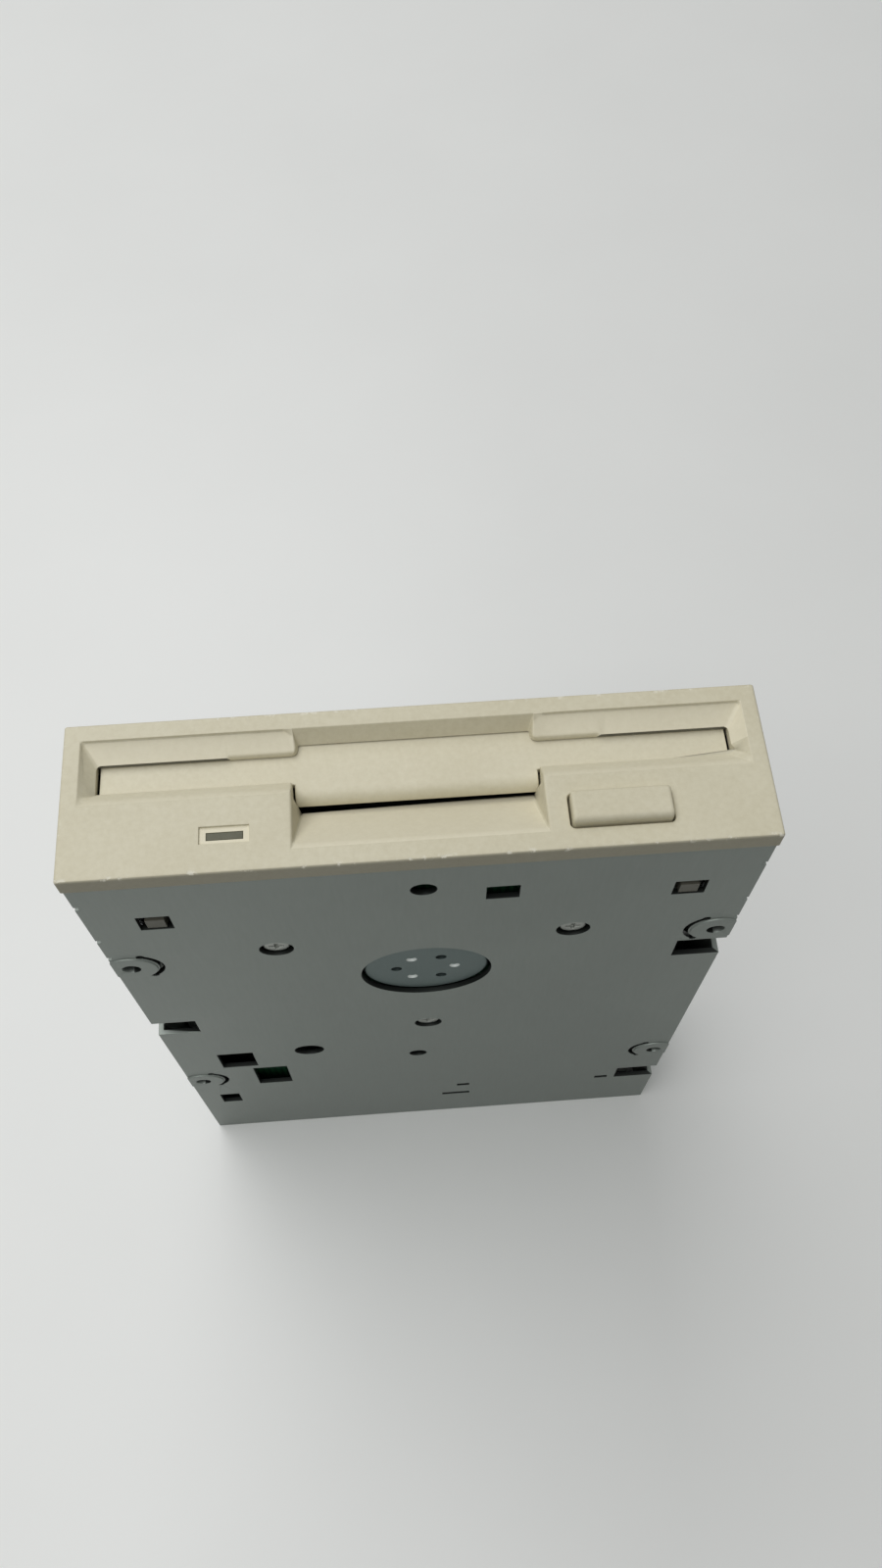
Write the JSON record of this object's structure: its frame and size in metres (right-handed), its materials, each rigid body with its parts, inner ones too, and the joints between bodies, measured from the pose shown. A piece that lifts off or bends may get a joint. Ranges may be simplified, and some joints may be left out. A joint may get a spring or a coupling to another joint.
{
  "type": "floppy disk drive",
  "caption": "Slim steel-cased disk drive with a beige front bezel, sprung slot door, eject button, spindle motor, loading carrier and screw-driven heads.",
  "frame": {"origin": "middle of the rear edge that the drive stands on", "axes": "+Z from the rear edge up to the face of the bezel, +Y from the underside to the top cover, +X across to the eject button's side"},
  "size_m": [0.1016, 0.025, 0.1476],
  "materials": {
    "zinc_steel": "zinc-plated sheet",
    "bright_steel": "turned and plated",
    "beige_abs": "fine moulded grain",
    "circuit_board": "green solder mask",
    "black_plastic": "moulded",
    "white_nylon": "moulded",
    "core_steel": "stacked laminations",
    "copper_wire": "enamelled winding",
    "bronze": "sintered",
    "gold_pins": "plated",
    "amber_film": "flexible film",
    "smoke_lens": "grey translucent",
    "green_resin": "tinted resin",
    "ferrite": "bonded magnet",
    "ferrite_head": "polished"
  },
  "bodies": {
    "casing": {"chassis_pan": "zinc_steel", "top_cover": "zinc_steel", "front_bezel": "beige_abs", "mid_deck": "zinc_steel", "motor_board": "circuit_board", "motor_chip": "black_plastic", "stator_core": "core_steel", "stator_coils": "copper_wire", "motor_screws": "bright_steel", "spindle_bearing": "bronze", "stepper_motor": "zinc_steel", "stepper_bracket": "zinc_steel", "guide_rod": "bright_steel", "rod_clamps": "black_plastic", "control_board": "circuit_board", "board_chips": "black_plastic", "board_screws": "bright_steel", "signal_header": "black_plastic", "signal_pins": "gold_pins", "power_connector": "white_nylon", "power_pins": "bright_steel", "head_ribbon": "amber_film", "track_sensor": "black_plastic", "led_lens": "smoke_lens", "indicator_led": "green_resin", "switch_bodies": "black_plastic", "slide_springs": "bright_steel", "door_spring": "bright_steel"},
    "eject_slider": {"slide_plate": "zinc_steel", "eject_button": "beige_abs"},
    "carrier": {"disk_carrier": "zinc_steel", "lever_pin": "bright_steel", "lever_spring": "bright_steel"},
    "lever": {"trigger_lever": "black_plastic"},
    "door": {"slot_door": "beige_abs"},
    "spindle": {"spindle_rotor": "zinc_steel", "rotor_magnet": "ferrite", "spindle_shaft": "bright_steel", "chuck_hub": "zinc_steel", "chuck_magnet": "ferrite", "drive_pin": "bright_steel"},
    "screw": {"lead_screw": "bright_steel"},
    "carriage": {"head_carriage": "black_plastic", "lower_head": "ferrite_head", "screw_follower": "bright_steel", "arm_pin": "bright_steel", "arm_spring": "bright_steel"},
    "arm": {"head_arm": "zinc_steel", "upper_head": "ferrite_head"},
    "protect_switch": {"protect_plunger": "white_nylon"},
    "density_switch": {"density_plunger": "white_nylon"},
    "disk_switch": {"disk_plunger": "white_nylon"}
  },
  "joints": [
    {"name": "eject_travel", "type": "slide", "parent": "casing", "child": "eject_slider", "axis": [0, 0, 1], "range_m": [0, 0.0055]},
    {"name": "carrier_drop", "type": "slide", "parent": "casing", "child": "carrier", "axis": [0, -1, 0], "range_m": [0, 0.0025]},
    {"name": "lever_swing", "type": "hinge", "parent": "carrier", "child": "lever", "pos_m": [0.033, 0.0077, 0.052], "axis": [0, -1, 0], "range_deg": [0, 60]},
    {"name": "arm_drop", "type": "hinge", "parent": "carriage", "child": "arm", "pos_m": [0, 0.0065, 0.0262], "axis": [1, 0, 0], "range_deg": [0, 8.6]},
    {"name": "screw_turn", "type": "hinge", "parent": "casing", "child": "screw", "pos_m": [0.02, -0.003, 0.05], "axis": [0, 0, 1], "range_deg": [0, 1420.8]},
    {"name": "track_travel", "type": "slide", "parent": "casing", "child": "carriage", "axis": [0, 0, 1], "range_m": [0, 0.0148]},
    {"name": "spindle_spin", "type": "hinge", "parent": "casing", "child": "spindle", "pos_m": [0, -0.004, 0.099], "axis": [0, 1, 0], "continuous": true},
    {"name": "door_swing", "type": "hinge", "parent": "casing", "child": "door", "pos_m": [0, 0.0094, 0.1414], "axis": [-1, 0, 0], "range_deg": [-84, 0], "stiffness_Nm_per_rad": 0.0004, "springref_deg": 45.84},
    {"name": "protect_press", "type": "slide", "parent": "casing", "child": "protect_switch", "axis": [0, -1, 0], "range_m": [0, 0.0012], "stiffness_N_per_m": 100, "springref_m": -0.0006},
    {"name": "density_press", "type": "slide", "parent": "casing", "child": "density_switch", "axis": [0, -1, 0], "range_m": [0, 0.0012], "stiffness_N_per_m": 100, "springref_m": -0.0006},
    {"name": "disk_press", "type": "slide", "parent": "casing", "child": "disk_switch", "axis": [0, -1, 0], "range_m": [0, 0.0012], "stiffness_N_per_m": 100, "springref_m": -0.0006}
  ],
  "couplings": [
    {"joint": "carrier_drop", "follows": "eject_travel", "ratio": 0.45454},
    {"joint": "lever_swing", "follows": "eject_travel", "rad_per_m": 190.4},
    {"joint": "arm_drop", "follows": "eject_travel", "rad_per_m": 27.29},
    {"joint": "screw_turn", "follows": "track_travel", "rad_per_m": 1675.5}
  ]
}
